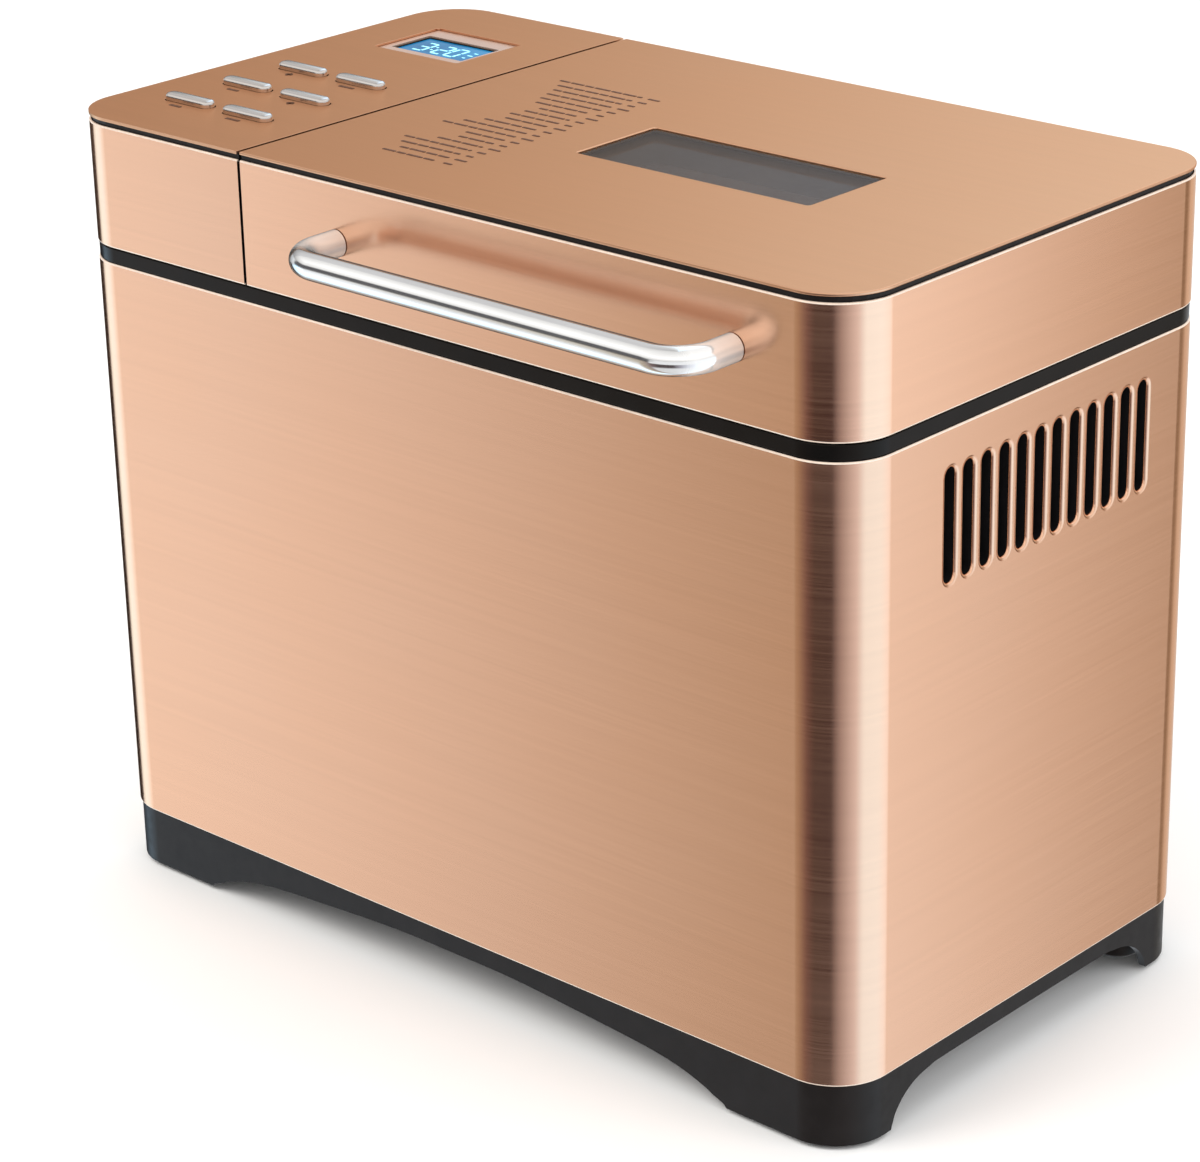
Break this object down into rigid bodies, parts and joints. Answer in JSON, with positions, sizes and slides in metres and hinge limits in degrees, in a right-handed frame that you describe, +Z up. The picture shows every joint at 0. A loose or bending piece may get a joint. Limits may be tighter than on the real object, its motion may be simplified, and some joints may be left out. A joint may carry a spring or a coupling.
{
  "type": "bread machine",
  "caption": "Countertop bread machine: brushed metal box, hinged lid with window and bar handle, side control panel, pan with kneading paddle inside.",
  "frame": {"origin": "on the standing surface, under the middle of the whole machine's bounding box, handle and hinges included", "axes": "+Z up, -Y towards the handle and the person using it, +X towards the vented side, with the control panel at -X"},
  "size_m": [0.37, 0.242, 0.308],
  "materials": {
    "rose_steel": "brushed rose-gold stainless steel, grain along the length",
    "black_plastic": "satin moulded black",
    "chrome": "polished",
    "silver_plastic": "metallised silver",
    "rubber": "matt",
    "glass": "clear",
    "oven_steel": "aluminised sheet",
    "zinc_steel": "zinc plated",
    "nonstick": "dark non-stick coat",
    "display_blue": "lit blue display",
    "display_bezel": "copper-brown surround",
    "circuit_board": "green laminate",
    "heater": "oxidised sheath",
    "brass": "sintered",
    "silicone": "matt grey",
    "white_plastic": "matt white"
  },
  "bodies": {
    "housing": {"base_tray": "black_plastic", "foot_pad_1": "rubber", "foot_pad_2": "rubber", "foot_pad_3": "rubber", "foot_pad_4": "rubber", "body_wrap": "rose_steel", "cord_bush": "black_plastic", "deck": "black_plastic", "oven_cavity": "oven_steel", "temperature_sensor": "zinc_steel", "oven_rail_front": "zinc_steel", "oven_rail_back": "zinc_steel", "heating_element": "heater", "heater_clip": "zinc_steel", "chassis_plate": "zinc_steel", "bearing_housing": "zinc_steel", "shaft_bush": "brass", "drive_belt": "rubber", "motor_body": "zinc_steel", "motor_capacitor": "white_plastic", "pan_socket": "zinc_steel", "pan_foot": "zinc_steel", "bread_pan": "nonstick", "hinge_bracket_left": "black_plastic", "hinge_bracket_right": "black_plastic", "hinge_pin_left": "zinc_steel", "hinge_pin_right": "zinc_steel", "panel_skirt": "rose_steel", "panel_frame": "black_plastic", "panel_plate": "rose_steel", "display_bezel": "display_bezel", "lcd_glass": "display_blue", "control_board": "circuit_board", "power_board": "circuit_board"},
    "lid": {"lid_skirt": "rose_steel", "lid_frame": "black_plastic", "lid_plate": "rose_steel", "lid_window": "glass", "lid_liner": "oven_steel", "inner_window": "glass", "lid_seal": "silicone", "handle": "chrome", "handle_screw_left": "zinc_steel", "handle_screw_right": "zinc_steel"},
    "drive": {"kneading_paddle": "nonstick", "pan_shaft": "zinc_steel", "pan_coupler": "zinc_steel", "drive_coupler": "zinc_steel", "drive_shaft": "zinc_steel", "large_pulley": "black_plastic"},
    "motor_rotor": {"motor_pulley": "black_plastic", "motor_shaft": "zinc_steel"},
    "bail": {"pan_bail": "chrome"},
    "menu_key": {"menu_button": "silver_plastic"},
    "loaf_size_key": {"loaf_size_button": "silver_plastic"},
    "crust_key": {"crust_button": "silver_plastic"},
    "time_up_key": {"time_up_button": "silver_plastic"},
    "time_down_key": {"time_down_button": "silver_plastic"},
    "start_stop_key": {"start_stop_button": "silver_plastic"}
  },
  "joints": [
    {"name": "lid_hinge", "type": "hinge", "parent": "housing", "child": "lid", "pos_m": [0.048, 0.1172, 0.2575], "axis": [-1, 0, 0], "range_deg": [0, 95]},
    {"name": "kneading_spin", "type": "hinge", "parent": "housing", "child": "drive", "pos_m": [0.048, 0.0105, 0.05], "axis": [0, 0, 1], "continuous": true},
    {"name": "motor_spin", "type": "hinge", "parent": "housing", "child": "motor_rotor", "pos_m": [-0.126, 0.0105, 0.05], "axis": [0, 0, 1], "continuous": true},
    {"name": "bail_hinge", "type": "hinge", "parent": "housing", "child": "bail", "pos_m": [0.048, 0.0105, 0.2262], "axis": [-1, 0, 0], "range_deg": [0, 180]},
    {"name": "menu_press", "type": "slide", "parent": "housing", "child": "menu_key", "axis": [0, 0, -1], "range_m": [0, 0.0012], "stiffness_N_per_m": 400, "springref_m": -0.001},
    {"name": "loaf_size_press", "type": "slide", "parent": "housing", "child": "loaf_size_key", "axis": [0, 0, -1], "range_m": [0, 0.0012], "stiffness_N_per_m": 400, "springref_m": -0.001},
    {"name": "crust_press", "type": "slide", "parent": "housing", "child": "crust_key", "axis": [0, 0, -1], "range_m": [0, 0.0012], "stiffness_N_per_m": 400, "springref_m": -0.001},
    {"name": "time_up_press", "type": "slide", "parent": "housing", "child": "time_up_key", "axis": [0, 0, -1], "range_m": [0, 0.0012], "stiffness_N_per_m": 400, "springref_m": -0.001},
    {"name": "time_down_press", "type": "slide", "parent": "housing", "child": "time_down_key", "axis": [0, 0, -1], "range_m": [0, 0.0012], "stiffness_N_per_m": 400, "springref_m": -0.001},
    {"name": "start_stop_press", "type": "slide", "parent": "housing", "child": "start_stop_key", "axis": [0, 0, -1], "range_m": [0, 0.0012], "stiffness_N_per_m": 400, "springref_m": -0.001}
  ],
  "couplings": [
    {"joint": "motor_spin", "follows": "kneading_spin", "ratio": 5.3956}
  ]
}
